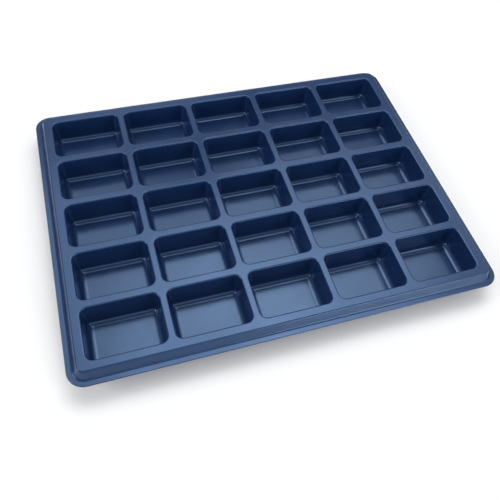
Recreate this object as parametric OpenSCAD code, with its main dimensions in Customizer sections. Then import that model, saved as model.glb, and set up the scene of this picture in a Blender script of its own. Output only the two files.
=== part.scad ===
// Coin display tray: a formed sheet with a grid of rectangular pockets and a
// stepped flange all round, which drops into a shallow base tray on four feet.
// Millimetres, +Z up.  The origin is on the surface the feet stand on, under the
// middle of the tray.  +X is along the rows, -Y is the front.

/* [Pocket grid] */
// Number of pockets along X
columns = 5; // [3:1:6]
// Number of pockets along Y
rows = 5; // [3:1:6]
// Width of a pocket's mouth along X
pocket_w = 51; // [40:0.5:60]
// Length of a pocket's mouth along Y
pocket_l = 36; // [28:0.1:50]
// Depth of a pocket, from the top face to its floor
pocket_depth = 18.4; // [14:0.2:24]
// Corner radius of a pocket's mouth, seen from above
pocket_r = 5; // [4:0.5:8]
// How far each pocket wall leans in between the mouth and the floor
pocket_draft = 2.2; // [1:0.1:3]
// Width of the ribs that run along Y, between columns
rib_x = 5; // [4:0.5:9]
// Width of the ribs that run along X, between rows
rib_y = 6; // [4:0.1:9]

/* [Border, step and flange] */
// Width of the top face outside the outermost pockets
border = 6.1; // [4:0.1:12]
// Drop from the top face to the flange
step_h = 5.8; // [4:0.2:9]
// How far the step's sloping wall runs out over that drop
step_run = 3.5; // [1.5:0.1:5]
// Width of the flange outside the step
flange_w = 3.8; // [3:0.1:10]
// Corner radius of the top face, seen from above
top_r = 4.2; // [3:0.1:10]

/* [Sheets] */
// Thickness of the formed pocket sheet
sheet_t = 1.2; // [0.8:0.1:1.5]
// Thickness of the formed base tray
base_t = 1.2; // [1:0.1:1.5]
// Clearance between the pockets' outsides and the base tray's walls
side_gap = 1.0; // [0.6:0.1:1.5]
// Clearance between the pockets' undersides and the base tray's floor
floor_gap = 0.3; // [0.2:0.1:0.6]
// How far the flange stands out past the base tray's rim, to lift it by
finger_lip = 1.5; // [1:0.1:2]

/* [Stiffening beads in the base] */
// Width of a bead across its foot
bead_w = 5.6; // [5:0.1:6]
// Height of a bead above the base tray's floor
bead_h = 3; // [2:0.1:4]

/* [Feet] */
// Radius of a foot
foot_r = 6; // [4:0.5:8]
// Height of a foot
foot_h = 1.5; // [1:0.1:3]
// Distance from the base floor's edges to a foot's centre
foot_inset = 14; // [12:1:20]

/* [Hidden] */
$fn = 64;

tray_blue = [0.30, 0.39, 0.62];
base_blue = [0.22, 0.30, 0.52];
rubber_black = [0.09, 0.09, 0.10];

// Overlap that keeps a cut from ending exactly on a face
eps = 1;

// How far a leaning block's round corners stand proud of its flat sides
proud = 0.04;

// Heights, from the ground up
base_floor_z = foot_h + base_t;
cup_bottom_z = base_floor_z + floor_gap;
pocket_floor_z = cup_bottom_z + sheet_t;
top_z = pocket_floor_z + pocket_depth;
flange_z = top_z - step_h;
rim_z = flange_z - sheet_t;

// Plan sizes: the block of pockets, then each outline outside it
pitch_x = pocket_w + rib_x;
pitch_y = pocket_l + rib_y;
grid_w = columns * pocket_w + (columns - 1) * rib_x;
grid_l = rows * pocket_l + (rows - 1) * rib_y;
flange_out = border + step_run + flange_w;
flange_r = top_r + step_run + flange_w;

// Lean of every pocket and base wall, in mm sideways per mm of height
lean = pocket_draft / pocket_depth;

// Lines half-way between neighbouring rows of pockets, where the beads run
bead_lines = [for (j = [1 : rows - 1]) (j - rows / 2) * pitch_y];

// Foot centres, measured in from the edges of the base tray's flat floor
foot_x = grid_w / 2 + wall_out(base_floor_z) - foot_inset;
foot_y = grid_l / 2 + wall_out(base_floor_z) - foot_inset;

// Distance from the pocket block's edge out to the base wall's inside, at height z
function wall_out(z) = sheet_t + side_gap - lean * (top_z - z);

// A rounded rectangle, seen from above
module rounded_rect(w, l, r) {
    square([w, l - 2 * r], center = true);
    square([w - 2 * r, l], center = true);
    for (x = [-1, 1], y = [-1, 1])
        translate([x * (w / 2 - r), y * (l / 2 - r)]) circle(r);
}

// A flat plate with rounded corners, from z0 up to z1
module plate(w, l, r, z0, z1) {
    translate([0, 0, z0]) linear_extrude(z1 - z0) rounded_rect(w, l, r);
}

// A block with rounded corners whose four sides lean: w0, l0 and r0 are its
// outline at z0, and each side is "out" further out at z1
module leaning_block(w0, l0, r0, out, z0, z1) {
    h = z1 - z0;
    flat_x = w0 / 2 - r0;
    flat_y = l0 / 2 - r0;
    translate([0, flat_y, z0]) rotate([90, 0, 0]) linear_extrude(2 * flat_y)
        polygon([[-w0 / 2, 0], [w0 / 2, 0], [w0 / 2 + out, h], [-w0 / 2 - out, h]]);
    translate([-flat_x, 0, z0]) rotate([90, 0, 90]) linear_extrude(2 * flat_x)
        polygon([[-l0 / 2, 0], [l0 / 2, 0], [l0 / 2 + out, h], [-l0 / 2 - out, h]]);
    for (x = [-1, 1], y = [-1, 1])
        translate([x * flat_x, y * flat_y, z0]) cylinder(h, r0 + proud, r0 + out + proud);
}

// The shape of one pocket between z0 and z1, grown sideways by "grow"
module pocket_form(grow, z0, z1) {
    g0 = grow - lean * (top_z - z0);
    leaning_block(pocket_w + 2 * g0, pocket_l + 2 * g0, pocket_r + g0, lean * (z1 - z0), z0, z1);
}

// Its children at every pocket of the grid
module each_pocket() {
    for (i = [0 : columns - 1], j = [0 : rows - 1])
        translate([(i - (columns - 1) / 2) * pitch_x, (j - (rows - 1) / 2) * pitch_y, 0])
            children();
}

// The raised middle with its sloping step, shrunk by "inset", from z0 up to z1
module raised_block(inset, z0, z1) {
    spread = step_run / step_h;
    out0 = border - inset + spread * (top_z - z0);
    leaning_block(grid_w + 2 * out0, grid_l + 2 * out0, top_r - border + out0,
                  -spread * (z1 - z0), z0, z1);
}

// The space inside the base tray's walls, grown sideways by "grow"
module base_form(grow, z0, z1) {
    g0 = grow + wall_out(z0);
    leaning_block(grid_w + 2 * g0, grid_l + 2 * g0, pocket_r + g0, lean * (z1 - z0), z0, z1);
}

// Beads along X with leaning sides and round ends, one on each line: each is
// w wide and l long at z0, and narrows by "side" all round at z1
module beads(w, l, side, z0, z1) {
    h = z1 - z0;
    flat = l - w;
    for (y = bead_lines) translate([0, y, z0]) {
        translate([-flat / 2, 0, 0]) rotate([90, 0, 90]) linear_extrude(flat)
            polygon([[-w / 2, 0], [w / 2, 0], [w / 2 - side, h], [side - w / 2, h]]);
        for (x = [-1, 1])
            translate([x * flat / 2, 0, 0]) cylinder(h, w / 2, w / 2 - side);
    }
}

// The formed sheet: top face, pockets, step and flange in one thickness
module pocket_insert() {
    color(tray_blue) difference() {
        union() {
            difference() {
                union() {
                    raised_block(0, rim_z, top_z);
                    plate(grid_w + 2 * flange_out, grid_l + 2 * flange_out, flange_r, rim_z, flange_z);
                }
                raised_block(sheet_t, rim_z - eps, top_z - sheet_t);
            }
            each_pocket() pocket_form(sheet_t, cup_bottom_z, top_z - sheet_t / 2);
        }
        each_pocket() pocket_form(0, pocket_floor_z, top_z + eps);
    }
}

// The shallow tray underneath: flat rim, leaning walls and a floor with beads
module base_tray() {
    rim_out = flange_out - finger_lip;
    bead_l = grid_w - 2 * foot_inset;
    bead_side = 0.5;
    color(base_blue) difference() {
        union() {
            difference() {
                union() {
                    base_form(base_t, foot_h, rim_z);
                    plate(grid_w + 2 * rim_out, grid_l + 2 * rim_out, flange_r - finger_lip,
                          rim_z - base_t, rim_z);
                }
                base_form(0, base_floor_z, rim_z + eps);
            }
            beads(bead_w, bead_l, bead_side, base_floor_z - base_t / 2, base_floor_z + bead_h);
        }
        beads(bead_w - 2 * base_t, bead_l - 2 * base_t, bead_side, foot_h - eps, foot_h + bead_h);
    }
}

// A round anti-slip foot under one corner of the base tray
module foot(x, y) {
    edge = 0.4;
    color(rubber_black) translate([x, y, 0]) rotate_extrude()
        polygon([[0, 0], [foot_r - edge, 0], [foot_r, edge], [foot_r, foot_h], [0, foot_h]]);
}

pocket_insert();
base_tray();
foot(-foot_x, -foot_y);  // foot_front_left
foot(foot_x, -foot_y);  // foot_front_right
foot(-foot_x, foot_y);  // foot_back_left
foot(foot_x, foot_y);  // foot_back_right
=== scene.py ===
import math

import bpy
from mathutils import Matrix, Quaternion, Vector


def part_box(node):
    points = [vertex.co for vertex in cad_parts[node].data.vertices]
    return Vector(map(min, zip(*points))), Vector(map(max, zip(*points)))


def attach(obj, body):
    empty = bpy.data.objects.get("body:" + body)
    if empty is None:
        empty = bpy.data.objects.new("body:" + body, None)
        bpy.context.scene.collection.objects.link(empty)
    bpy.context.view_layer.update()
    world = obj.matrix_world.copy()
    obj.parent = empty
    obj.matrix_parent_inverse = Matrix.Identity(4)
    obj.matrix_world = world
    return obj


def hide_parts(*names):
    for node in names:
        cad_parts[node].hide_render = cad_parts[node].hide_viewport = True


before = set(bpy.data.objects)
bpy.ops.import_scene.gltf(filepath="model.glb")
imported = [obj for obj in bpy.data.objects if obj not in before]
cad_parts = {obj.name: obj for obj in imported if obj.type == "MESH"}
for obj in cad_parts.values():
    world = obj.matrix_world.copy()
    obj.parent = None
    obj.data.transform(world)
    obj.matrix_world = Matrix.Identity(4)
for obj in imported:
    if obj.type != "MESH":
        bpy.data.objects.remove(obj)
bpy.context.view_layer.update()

# A coin display tray: a formed sheet with a grid of pockets, which lifts out of a
# low base tray on four rubber feet.

# ---------------------------------------------------------------------------
# Sizes, in millimetres.  Overall sizes and heights come from the frame.
# ---------------------------------------------------------------------------
MM = 0.001                           # in metres

COLUMNS, ROWS = 5, 5
POCKET_W, POCKET_L = 51.0, 36.0      # a pocket's mouth, along X and Y
POCKET_DEPTH = 18.4
POCKET_R = 5.0                       # corner radius of a pocket's mouth
POCKET_DRAFT = 2.2                   # how far each pocket wall leans in
RIB_X, RIB_Y = 5.0, 6.0              # ribs between columns and between rows
BORDER = 6.1                         # top face outside the outermost pockets
STEP_H, STEP_RUN = 5.8, 3.5          # the sloping step, down and out
TOP_R = 4.2                          # corner radius of the top face
SHEET_T = 1.2                        # thickness of both formed sheets
SIDE_GAP = 1.0                       # pockets to the base tray's walls

BEAD_W, BEAD_H = 5.6, 3.0            # a stiffening bead in the base tray's floor
BEAD_SIDE = 0.5                      # how far each side of a bead leans in
BEAD_INSET = 28.0                    # a bead is this much shorter than the grid's width
BEAD_CELL_INSET = 14.0               # and the cell of floor round it, this much

MOUTH_ROUND = 1.1                    # rounding of a pocket's mouth
FLOOR_ROUND = 4.2                    # fillet between a pocket's wall and floor
STEP_TOP_ROUND, STEP_FOOT_ROUND = 1.0, 1.3
BASE_ROUND = 2.6                     # bends of the base tray
BEAD_FOOT_ROUND, BEAD_TOP_ROUND = 0.9, 1.3
EDGE_ROUND = 0.3                     # how far a trimmed sheet edge bulges out
LEAST_R = 1.5                        # smallest corner radius, seen from above

PITCH_X, PITCH_Y = POCKET_W + RIB_X, POCKET_L + RIB_Y
GRID_W = COLUMNS * POCKET_W + (COLUMNS - 1) * RIB_X
GRID_L = ROWS * POCKET_L + (ROWS - 1) * RIB_Y
LEAN = POCKET_DRAFT / POCKET_DEPTH


def node_mm(name):
    """The lowest and highest corners of a CAD node, in millimetres."""
    low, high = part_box(name)
    return low / MM, high / MM


insert_high = node_mm("pocket_insert")[1]
base_low, base_high = node_mm("base_tray")

TOP_Z = insert_high.z
FLANGE_Z = TOP_Z - STEP_H
BASE_FLOOR_Z = base_low.z + SHEET_T
BASE_RIM_Z = base_high.z

# ---------------------------------------------------------------------------
# Sheet building
# ---------------------------------------------------------------------------
INWARDS, OUTWARDS = 1, -1

ARC_STEPS = 8                        # facets in a quarter turn of a bend
LEAST_ARC_STEPS = 3                  # facets in the slightest bend
CORNER_STEPS = 8                     # facets in a corner seen from above, an even number
SIDE_STEPS_X, SIDE_STEPS_Y = 6, 5    # pieces that a hollow's straight sides are cut into
CAP_SHARES = (0.85, 0.65, 0.42, 0.2) # sizes of the rings that close a flat floor
EDGE_POINTS = 3                      # points round a trimmed edge, between its two faces
EDGE_HEIGHT = 0.98                   # share of the sheet's thickness that the bulge spans
WELD_DIGITS = 3                      # points that agree to this many decimals are one
EDGE_DIGITS = 6                      # the same, for places along an edge of the grid

# Flat stretches beside the bends, in millimetres
HOLD = 0.08            # a support loop this far from each bend keeps flats flat
LEAD = 2.0             # start of a hollow's path, outside its mouth, which isn't swept
BORDER_START = 4.0     # start of the border's sweep, outside the outermost mouths
BEAD_TOP_END = 2.4     # end of a bead's sweep, in from its foot
BASE_START = 4.0       # start of the base wall's sweep, in from its foot


def bent_path(corners, rounds, turn):
    """A path through corners in the (out, up) plane with its bends rounded.

    Each entry is (out, up, normal out, normal up); turn is INWARDS or OUTWARDS,
    the way that the path runs, so that the normals face up.
    """
    points = [Vector(c) for c in corners]
    path = []

    def add(point, along):
        path.append((point.x, point.y, turn * along.y, -turn * along.x))

    for i, point in enumerate(points):
        before = (point - points[i - 1]).normalized() if i > 0 else None
        after = (points[i + 1] - point).normalized() if i + 1 < len(points) else None
        radius = rounds[i]
        if before is None or after is None or radius == 0:
            add(point, after or before)
            continue
        angle = before.angle(after)
        tangent = radius * math.tan(angle / 2)
        side = 1 if before.x * after.y - before.y * after.x > 0 else -1
        start = point - before * tangent
        centre = start + Vector((-before.y, before.x)) * side * radius
        steps = max(LEAST_ARC_STEPS, round(ARC_STEPS * angle / (math.pi / 2)))
        add(start - before * HOLD, before)
        for k in range(steps + 1):
            spin = Matrix.Rotation(side * angle * k / steps, 2)
            add(centre + spin @ (start - centre), spin @ before)
        end = point + after * tangent
        add(end + after * HOLD, after)
    return path


def rounded_outline(width, length, radius, xs, ys):
    """A rounded rectangle's points, anticlockwise, as (point, outward normal, corner).

    xs and ys are the inner points of its straight sides, from low to high.
    corner is the signs of the corner that a point belongs to, or None on a side.
    """
    flat_x, flat_y = width / 2 - radius, length / 2 - radius
    sides = (
        [Vector((x, length / 2)) for x in reversed(xs)],
        [Vector((-width / 2, y)) for y in reversed(ys)],
        [Vector((x, -length / 2)) for x in xs],
        [Vector((width / 2, y)) for y in ys],
    )
    signs = ((1, 1), (-1, 1), (-1, -1), (1, -1))
    outline = []
    for quarter in range(4):
        corner = signs[quarter]
        centre = Vector((corner[0] * flat_x, corner[1] * flat_y))
        for k in range(CORNER_STEPS + 1):
            angle = math.pi / 2 * (quarter + k / CORNER_STEPS)
            normal = Vector((math.cos(angle), math.sin(angle)))
            outline.append((centre + normal * radius, normal, corner))
        turn = math.pi / 2 * (quarter + 1)
        normal = Vector((round(math.cos(turn)), round(math.sin(turn))))
        outline += [(point, normal, None) for point in sides[quarter]]
    return outline


def evenly(half, steps):
    """The inner points of a line from -half to half cut into steps."""
    return [-half + 2 * half * k / steps for k in range(1, steps)]


def linked_object(name, points, faces):
    """A smooth-shaded object in the scene, from points in millimetres."""
    mesh = bpy.data.meshes.new(name)
    mesh.from_pydata([Vector(p) * MM for p in points], [], faces)
    mesh.validate()
    mesh.update()
    mesh.shade_smooth()
    piece = bpy.data.objects.new(name, mesh)
    bpy.context.scene.collection.objects.link(piece)
    return piece


class Sheet:
    """A sheet of one thickness: every point has a partner below it."""

    def __init__(self, thickness):
        self.thickness = thickness
        self.top, self.under, self.faces, self.known = [], [], [], {}

    def point(self, x, y, z, normal_x=0.0, normal_y=0.0, normal_z=1.0):
        """The number of the top point at a place, made on first use."""
        key = (round(x, WELD_DIGITS), round(y, WELD_DIGITS), round(z, WELD_DIGITS))
        if key not in self.known:
            self.known[key] = len(self.top)
            self.top.append((x, y, z))
            t = self.thickness
            self.under.append((x - normal_x * t, y - normal_y * t, z - normal_z * t))
        return self.known[key]

    def loop(self, outline, spare, out, up, normal_out, normal_up, centre):
        """One turn of a swept path, round an outline placed at centre.

        Corners tighten until the path is "spare" inside the outline, and then
        keep their radius and move in with the sides.
        """
        short = min(0.0, spare + out)
        ring = []
        for point, normal, corner in outline:
            place = centre + point + normal * out
            if corner:
                place += Vector(corner) * short - normal * short
            ring.append(self.point(
                place.x, place.y, up, normal.x * normal_out, normal.y * normal_out, normal_up))
        return ring

    def band(self, outer, inner):
        """Faces between two loops that run anticlockwise, one inside the other."""
        for i in range(len(outer)):
            k = (i + 1) % len(outer)
            face = list(dict.fromkeys((outer[i], outer[k], inner[k], inner[i])))
            if len(face) > 2:
                self.faces.append(face)

    def cap(self, loop, centre):
        """Closes a flat loop with shrinking rings."""
        rim = [Vector(self.top[i]) for i in loop]
        up = rim[0].z
        last = loop
        for share in CAP_SHARES:
            ring = []
            for p in rim:
                x = centre.x + (p.x - centre.x) * share
                y = centre.y + (p.y - centre.y) * share
                ring.append(self.point(x, y, up))
            self.band(last, ring)
            last = ring
        middle = self.point(centre.x, centre.y, up)
        for i in range(len(last)):
            self.faces.append([last[i], last[(i + 1) % len(last)], middle])

    def build(self, name, edge_loop, outward):
        """The closed mesh: top, underside and a rounded trimmed edge.

        outward is the direction out of the sheet at each point of edge_loop.
        """
        count = len(self.top)
        points = self.top + self.under
        faces = self.faces + [[i + count for i in reversed(f)] for f in self.faces]
        sections = []
        for i, out in zip(edge_loop, outward):
            high, low = Vector(self.top[i]), Vector(self.under[i])
            middle = (high + low) / 2
            half = (high - low).length / 2
            first = len(points)
            sections.append([i, *range(first, first + EDGE_POINTS), i + count])
            for k in range(1, EDGE_POINTS + 1):
                angle = math.pi / 2 - math.pi * k / (EDGE_POINTS + 1)
                points.append(tuple(
                    middle + out * EDGE_ROUND * math.cos(angle)
                    + Vector((0, 0, 1)) * half * math.sin(angle) * EDGE_HEIGHT))
        for here, there in zip(sections, sections[1:] + sections[:1]):
            for a in range(EDGE_POINTS + 1):
                faces.append([here[a], here[a + 1], there[a + 1], there[a]])
        return linked_object(name, points, faces)


def cell_edge(point, normal, corner, half, flat):
    """The place on its cell's edge that a hollow's outline point is joined to.

    Points of a straight side go straight out, and a corner's points spread over
    both edges next to the cell's own corner.  half is half the cell's size, and
    flat is half the straight sides' length, each along X and Y.
    """
    if corner is None and normal.y:
        return point.x, math.copysign(half.y, point.y)
    if corner is None:
        return math.copysign(half.x, point.x), point.y
    run, rise = abs(normal.x), abs(normal.y)
    if run >= rise:
        return corner[0] * half.x, corner[1] * (flat.y + (half.y - flat.y) * rise / run)
    return corner[0] * (flat.x + (half.x - flat.x) * run / rise), corner[1] * half.y


def on_edge(value, limit):
    """Whether a place along one axis is at the edge of its cell."""
    return abs(value - limit) < 10 ** -EDGE_DIGITS


def formed_sheet(name, cells, cell_size, hollow, hollow_path, rim, rim_path, up):
    """A sheet formed over a mould.

    cells is (columns, rows) of equal cells, each with one hollow or raised bead
    whose outline is hollow = (width, length, corner radius) and whose section is
    hollow_path, without the lead that only gives its first bend a direction.
    rim is the outline that rim_path sweeps round the whole grid.  up is the
    height of the flat face between the hollows.
    """
    sheet = Sheet(SHEET_T)
    columns, rows = cells
    half = Vector(cell_size) / 2
    width, length, radius = hollow
    flat = Vector((width / 2 - radius, length / 2 - radius))
    xs = evenly(flat.x, SIDE_STEPS_X)
    ys = evenly(flat.y, SIDE_STEPS_Y) if flat.y > 0 else []
    outline = rounded_outline(width, length, radius, xs, ys)
    spare = radius - min(LEAST_R, flat.y)

    edges_x, edges_y = set(), set()
    for j in range(rows):
        for i in range(columns):
            centre = Vector((
                (i - (columns - 1) / 2) * cell_size[0], (j - (rows - 1) / 2) * cell_size[1]))
            last = []
            for point, normal, corner in outline:
                x, y = cell_edge(point, normal, corner, half, flat)
                last.append(sheet.point(centre.x + x, centre.y + y, up))
                if on_edge(y, half.y):
                    edges_x.add(round(centre.x + x, EDGE_DIGITS))
                if on_edge(x, half.x):
                    edges_y.add(round(centre.y + y, EDGE_DIGITS))
            for station in hollow_path[1:]:
                ring = sheet.loop(outline, spare, *station, centre)
                sheet.band(last, ring)
                last = ring
            sheet.cap(last, centre)

    # the rim's outline has a point for every point of the grid's outer edge
    rim_w, rim_l, rim_r = rim
    grid_x, grid_y = columns * half.x, rows * half.y
    scale_x = (rim_w / 2 - rim_r) / grid_x
    scale_y = (rim_l / 2 - rim_r) / grid_y
    rim_outline = rounded_outline(
        rim_w, rim_l, rim_r,
        [x * scale_x for x in sorted(edges_x)[1:-1]],
        [y * scale_y for y in sorted(edges_y)[1:-1]])
    last = []
    for point, normal, corner in rim_outline:
        if corner:
            x, y = corner[0] * grid_x, corner[1] * grid_y
        elif normal.y:
            x, y = point.x / scale_x, math.copysign(grid_y, point.y)
        else:
            x, y = math.copysign(grid_x, point.x), point.y / scale_y
        last.append(sheet.point(x, y, up))
    for station in rim_path:
        ring = sheet.loop(rim_outline, rim_r - LEAST_R, *station, Vector((0, 0)))
        sheet.band(ring, last)
        last = ring
    outward = [Vector((normal.x, normal.y, 0)) for _, normal, _ in rim_outline]
    return sheet.build(name, last, outward)


# ---------------------------------------------------------------------------
# The two formed sheets
# ---------------------------------------------------------------------------
def make_insert():
    """The visible sheet: pockets, ribs, sloping step and flange."""
    floor_z = TOP_Z - POCKET_DEPTH
    pocket_path = bent_path(
        [(LEAD, TOP_Z), (0, TOP_Z), (-POCKET_DRAFT, floor_z), (-POCKET_DRAFT - FLOOR_ROUND, floor_z)],
        [0, MOUTH_ROUND, FLOOR_ROUND, 0], INWARDS)
    flange_edge = insert_high.x - EDGE_ROUND - (GRID_W / 2 + BORDER)
    rim_path = bent_path(
        [(-BORDER + BORDER_START, TOP_Z), (0, TOP_Z), (STEP_RUN, FLANGE_Z),
         (flange_edge - HOLD, FLANGE_Z), (flange_edge, FLANGE_Z)],
        [0, STEP_TOP_ROUND, STEP_FOOT_ROUND, 0, 0], OUTWARDS)
    return formed_sheet(
        "pocket_sheet", (COLUMNS, ROWS), (PITCH_X, PITCH_Y),
        (POCKET_W, POCKET_L, POCKET_R), pocket_path,
        (GRID_W + 2 * BORDER, GRID_L + 2 * BORDER, TOP_R), rim_path, TOP_Z)


def make_base():
    """The low tray underneath, with a stiffening bead under each rib along X."""
    wall_foot = SHEET_T + SIDE_GAP - LEAN * (TOP_Z - BASE_FLOOR_Z)
    wall_lean = LEAN * (BASE_RIM_Z - BASE_FLOOR_Z)
    bead_top_z = BASE_FLOOR_Z + BEAD_H
    bead_path = bent_path(
        [(LEAD, BASE_FLOOR_Z), (0, BASE_FLOOR_Z), (-BEAD_SIDE, bead_top_z), (-BEAD_TOP_END, bead_top_z)],
        [0, BEAD_FOOT_ROUND, BEAD_TOP_ROUND, 0], INWARDS)
    rim_edge = base_high.x - EDGE_ROUND - (GRID_W / 2 + wall_foot)
    rim_path = bent_path(
        [(-BASE_START, BASE_FLOOR_Z), (0, BASE_FLOOR_Z), (wall_lean, BASE_RIM_Z),
         (rim_edge - HOLD, BASE_RIM_Z), (rim_edge, BASE_RIM_Z)],
        [0, BASE_ROUND, BASE_ROUND, 0, 0], OUTWARDS)
    return formed_sheet(
        "base_tray_sheet", (1, ROWS - 1), (GRID_W - BEAD_CELL_INSET, PITCH_Y),
        (GRID_W - BEAD_INSET, BEAD_W, BEAD_W / 2), bead_path,
        (GRID_W + 2 * wall_foot, GRID_L + 2 * wall_foot, POCKET_R + wall_foot),
        rim_path, BASE_FLOOR_Z)


# ---------------------------------------------------------------------------
# Feet
# ---------------------------------------------------------------------------
FOOT_TURNS = 48                      # facets round a foot
FOOT_TOP_EDGE = 0.05                 # bevel round a foot's top

# A foot's dished underside and rounded side, from its middle outwards: share of
# the radius, and height in millimetres above what it stands on
FOOT_SECTION = (
    (0.0, 0.25), (0.35, 0.22), (0.52, 0.06), (0.60, 0.0),
    (0.78, 0.0), (0.90, 0.12), (0.97, 0.40), (1.0, 0.75),
)


def make_foot(node):
    """A moulded rubber foot: a low button with a shallow dish in its underside."""
    low, high = node_mm(node)
    centre = (low + high) / 2
    radius = (high.x - low.x) / 2
    section = [(radius * share, low.z + height) for share, height in FOOT_SECTION]
    section += [(radius, high.z - FOOT_TOP_EDGE), (radius - FOOT_TOP_EDGE, high.z), (0, high.z)]
    points, rings, faces = [], [], []
    for out, up in section:
        if out == 0:
            rings.append([len(points)] * FOOT_TURNS)
            points.append((centre.x, centre.y, up))
            continue
        ring = []
        for k in range(FOOT_TURNS):
            angle = 2 * math.pi * k / FOOT_TURNS
            ring.append(len(points))
            points.append((centre.x + out * math.cos(angle), centre.y + out * math.sin(angle), up))
        rings.append(ring)
    for lower, upper in zip(rings, rings[1:]):
        for k in range(FOOT_TURNS):
            n = (k + 1) % FOOT_TURNS
            faces.append(list(dict.fromkeys((lower[k], lower[n], upper[n], upper[k]))))
    return linked_object(node + "_rubber", points, faces)


# ---------------------------------------------------------------------------
# Materials
# ---------------------------------------------------------------------------
TRAY_BLUE = (0.008, 0.024, 0.082)
BASE_BLUE = (0.006, 0.019, 0.066)
GLOSS_TINT = (0.40, 0.63, 1.0)       # the plastic's reflections are blue too
GLOSS_LEVEL = 0.95                   # strength of those reflections
TRAY_ROUGHNESS = (0.19, 0.24)        # least and most
BASE_ROUGHNESS = (0.42, 0.52)
RUBBER_ROUGHNESS = (0.60, 0.78)
RUBBER_DARK = (0.022, 0.022, 0.024)
RUBBER_LIGHT = (0.036, 0.036, 0.038)
CLOUD_DARK, CLOUD_LIGHT = 0.93, 1.07 # how far the clouding changes the colour

# Noise as (scale, levels of detail): its features are about 1 / scale metres across
CLOUDS = (28, 3)                     # faint changes of colour
PATCHES = (90, 4)                    # uneven gloss
RIPPLE = (45, 1)                     # slow waves in a formed sheet
GRAIN = (1700, 2)                    # the fine grain of the mould
RUBBER_SPECKLE = (900, 3)
RUBBER_GRAIN = (2500, 2)
NOISE_LOW, NOISE_HIGH = 0.3, 0.7     # most of a noise's values lie between these

# Depths of the bumps, in metres
RIPPLE_DEPTH = 0.00012
TRAY_GRAIN_DEPTH = 0.000012
BASE_GRAIN_DEPTH = 0.000020
RUBBER_GRAIN_DEPTH = 0.00003


class Nodes:
    """A short way to write a node tree."""

    def __init__(self, name):
        self.material = bpy.data.materials.new(name)
        self.material.use_nodes = True
        self.tree = self.material.node_tree
        self.shader = self.tree.nodes["Principled BSDF"]
        self.place = self.tree.nodes.new("ShaderNodeTexCoord").outputs["Object"]

    def link(self, source, target):
        self.tree.links.new(source, target)

    def noise(self, scale, detail):
        noise = self.tree.nodes.new("ShaderNodeTexNoise")
        noise.inputs["Scale"].default_value = scale
        noise.inputs["Detail"].default_value = detail
        self.link(self.place, noise.inputs["Vector"])
        return noise.outputs["Fac"]

    def between(self, value, low, high):
        """A noise's value, mapped onto low to high."""
        remap = self.tree.nodes.new("ShaderNodeMapRange")
        for socket, number in (("From Min", NOISE_LOW), ("From Max", NOISE_HIGH),
                               ("To Min", low), ("To Max", high)):
            remap.inputs[socket].default_value = number
        self.link(value, remap.inputs["Value"])
        return remap.outputs["Result"]

    def blend(self, factor, first, second):
        """A colour from first to second, as factor goes from 0 to 1."""
        mix = self.tree.nodes.new("ShaderNodeMix")
        mix.data_type = "RGBA"
        mix.inputs["A"].default_value = (*first, 1)
        mix.inputs["B"].default_value = (*second, 1)
        self.link(factor, mix.inputs["Factor"])
        return mix.outputs["Result"]

    def bump(self, height, distance, below=None):
        """A bumped normal, on top of the bumped normal below it if there is one."""
        bump = self.tree.nodes.new("ShaderNodeBump")
        bump.inputs["Strength"].default_value = 1.0
        bump.inputs["Distance"].default_value = distance
        self.link(height, bump.inputs["Height"])
        if below is not None:
            self.link(below, bump.inputs["Normal"])
        return bump.outputs["Normal"]


def shade(colour, factor):
    """A colour made darker or lighter."""
    return tuple(c * factor for c in colour)


def sheet_plastic(name, colour, roughness, grain_depth):
    """Satin formed sheet: fine grain, faint clouding and uneven gloss."""
    nodes = Nodes(name)
    cloud = nodes.between(nodes.noise(*CLOUDS), 0, 1)
    nodes.link(nodes.blend(cloud, shade(colour, CLOUD_DARK), shade(colour, CLOUD_LIGHT)),
               nodes.shader.inputs["Base Color"])
    nodes.shader.inputs["Specular IOR Level"].default_value = GLOSS_LEVEL
    nodes.shader.inputs["Specular Tint"].default_value = (*GLOSS_TINT, 1)
    nodes.link(nodes.between(nodes.noise(*PATCHES), *roughness), nodes.shader.inputs["Roughness"])
    ripple = nodes.bump(nodes.noise(*RIPPLE), RIPPLE_DEPTH)
    nodes.link(nodes.bump(nodes.noise(*GRAIN), grain_depth, ripple), nodes.shader.inputs["Normal"])
    return nodes.material


def foot_rubber():
    """Matt black rubber with a fine speckle and grain."""
    nodes = Nodes("foot_rubber")
    speckle = nodes.between(nodes.noise(*RUBBER_SPECKLE), 0, 1)
    nodes.link(nodes.blend(speckle, RUBBER_DARK, RUBBER_LIGHT), nodes.shader.inputs["Base Color"])
    nodes.link(nodes.between(speckle, *RUBBER_ROUGHNESS), nodes.shader.inputs["Roughness"])
    nodes.link(nodes.bump(nodes.noise(*RUBBER_GRAIN), RUBBER_GRAIN_DEPTH), nodes.shader.inputs["Normal"])
    return nodes.material


insert = make_insert()
insert.data.materials.append(
    sheet_plastic("insert_plastic", TRAY_BLUE, TRAY_ROUGHNESS, TRAY_GRAIN_DEPTH))
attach(insert, "insert")
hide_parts("pocket_insert")

base = make_base()
base.data.materials.append(
    sheet_plastic("base_plastic", BASE_BLUE, BASE_ROUGHNESS, BASE_GRAIN_DEPTH))
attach(base, "base")
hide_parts("base_tray")

rubber = foot_rubber()
for corner in ("front_left", "front_right", "back_left", "back_right"):
    node = "foot_" + corner
    foot = make_foot(node)
    foot.data.materials.append(rubber)
    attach(foot, "base")
    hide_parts(node)

# ---------------------------------------------------------------------------
# Floor, light and camera.  Lengths here are in metres, unless a name says MM.
# ---------------------------------------------------------------------------
FLOOR_SIZE = 8.0
FLOOR_WHITE = (0.92, 0.925, 0.93)
FLOOR_ROUGHNESS = 0.9

WORLD_COLOUR = (0.98, 0.99, 1.0)
WORLD_STRENGTH = 0.40

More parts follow.
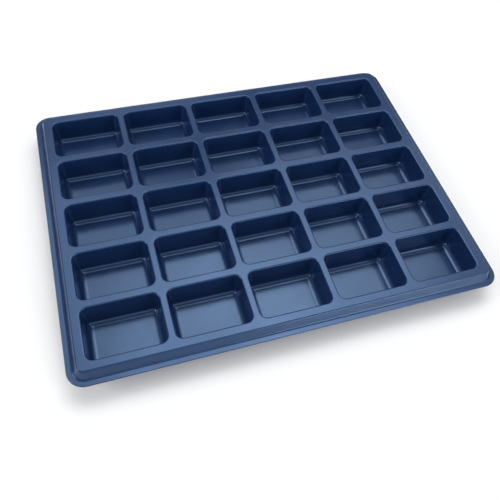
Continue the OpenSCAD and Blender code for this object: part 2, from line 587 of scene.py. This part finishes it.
# Softboxes, all aimed at the tray: place, diameter, brightness as seen
SOFTBOXES = {
    "top": ((0.13, 0.45, 1.28), 0.7, 1.2),
    "top_near": ((0.08, 0.25, 1.34), 0.7, 0.75),
    "top_right": ((0.46, 0.55, 1.20), 0.8, 2.1),
    "right_near": ((0.50, 0.22, 1.22), 0.7, 0.9),
    "top_left": ((-0.25, 0.62, 1.20), 0.8, 1.7),
    "back": ((0.0, 1.30, 0.75), 0.8, 0.75),
    "front": ((0.0, -1.10, 0.80), 0.7, 0.9),
    "right": ((1.0, 0.45, 0.75), 0.8, 0.65),
    "front_right": ((0.85, -0.80, 0.75), 0.7, 2.2),
    "left": ((-1.2, -0.1, 0.7), 0.7, 5.5),
    "front_low": ((0.55, -1.35, 0.15), 0.7, 6.5),
}

CAMERA_TURN = math.radians(23.6)     # round to the left of the tray's front
CAMERA_HEIGHT = math.radians(57.4)   # above the horizon
CAMERA_ROLL = math.radians(8.3)      # about its own line of sight
CAMERA_DISTANCE = 0.3738
AIM_X_MM, AIM_Y_MM = -18.1, -49.35   # where it looks, on the tray's top face
LENS_MM, SENSOR_MM = 38.4, 36
NEAREST, FURTHEST = 0.01, 50         # what the camera can see


def make_floor():
    """The plain pale floor that the tray stands on."""
    half = FLOOR_SIZE / 2
    mesh = bpy.data.meshes.new("floor")
    mesh.from_pydata(
        [(-half, -half, 0), (half, -half, 0), (half, half, 0), (-half, half, 0)],
        [], [(0, 1, 2, 3)])
    floor = bpy.data.objects.new("floor", mesh)
    bpy.context.scene.collection.objects.link(floor)
    material = bpy.data.materials.new("floor_white")
    material.use_nodes = True
    shader = material.node_tree.nodes["Principled BSDF"]
    shader.inputs["Base Color"].default_value = (*FLOOR_WHITE, 1)
    shader.inputs["Roughness"].default_value = FLOOR_ROUGHNESS
    mesh.materials.append(material)


def make_light():
    """An even pale surround and the softboxes."""
    world = bpy.data.worlds.new("studio")
    world.use_nodes = True
    background = world.node_tree.nodes["Background"]
    background.inputs["Color"].default_value = (*WORLD_COLOUR, 1)
    background.inputs["Strength"].default_value = WORLD_STRENGTH
    bpy.context.scene.world = world
    for name, (place, size, radiance) in SOFTBOXES.items():
        data = bpy.data.lights.new(name, "AREA")
        data.shape = "DISK"
        data.size = size
        data.energy = radiance * math.pi * math.pi * (size / 2) ** 2
        light = bpy.data.objects.new(name, data)
        light.location = place
        light.rotation_mode = "QUATERNION"
        light.rotation_quaternion = (-Vector(place)).to_track_quat("-Z", "Y")
        bpy.context.scene.collection.objects.link(light)


def make_camera():
    """The camera looks down on the tray from the front left, close to it."""
    data = bpy.data.cameras.new("camera")
    data.sensor_width = SENSOR_MM
    data.lens = LENS_MM
    data.clip_start, data.clip_end = NEAREST, FURTHEST
    camera = bpy.data.objects.new("camera", data)
    aim = Vector((AIM_X_MM, AIM_Y_MM, TOP_Z)) * MM
    back = Vector((-math.sin(CAMERA_TURN) * math.cos(CAMERA_HEIGHT),
                   -math.cos(CAMERA_TURN) * math.cos(CAMERA_HEIGHT),
                   math.sin(CAMERA_HEIGHT)))
    camera.location = aim + back * CAMERA_DISTANCE
    camera.rotation_mode = "QUATERNION"
    camera.rotation_quaternion = (
        (-back).to_track_quat("-Z", "Y") @ Quaternion((0, 0, 1), CAMERA_ROLL))
    bpy.context.scene.collection.objects.link(camera)
    bpy.context.scene.camera = camera


make_floor()
make_light()
make_camera()
bpy.context.scene.view_settings.view_transform = "Standard"
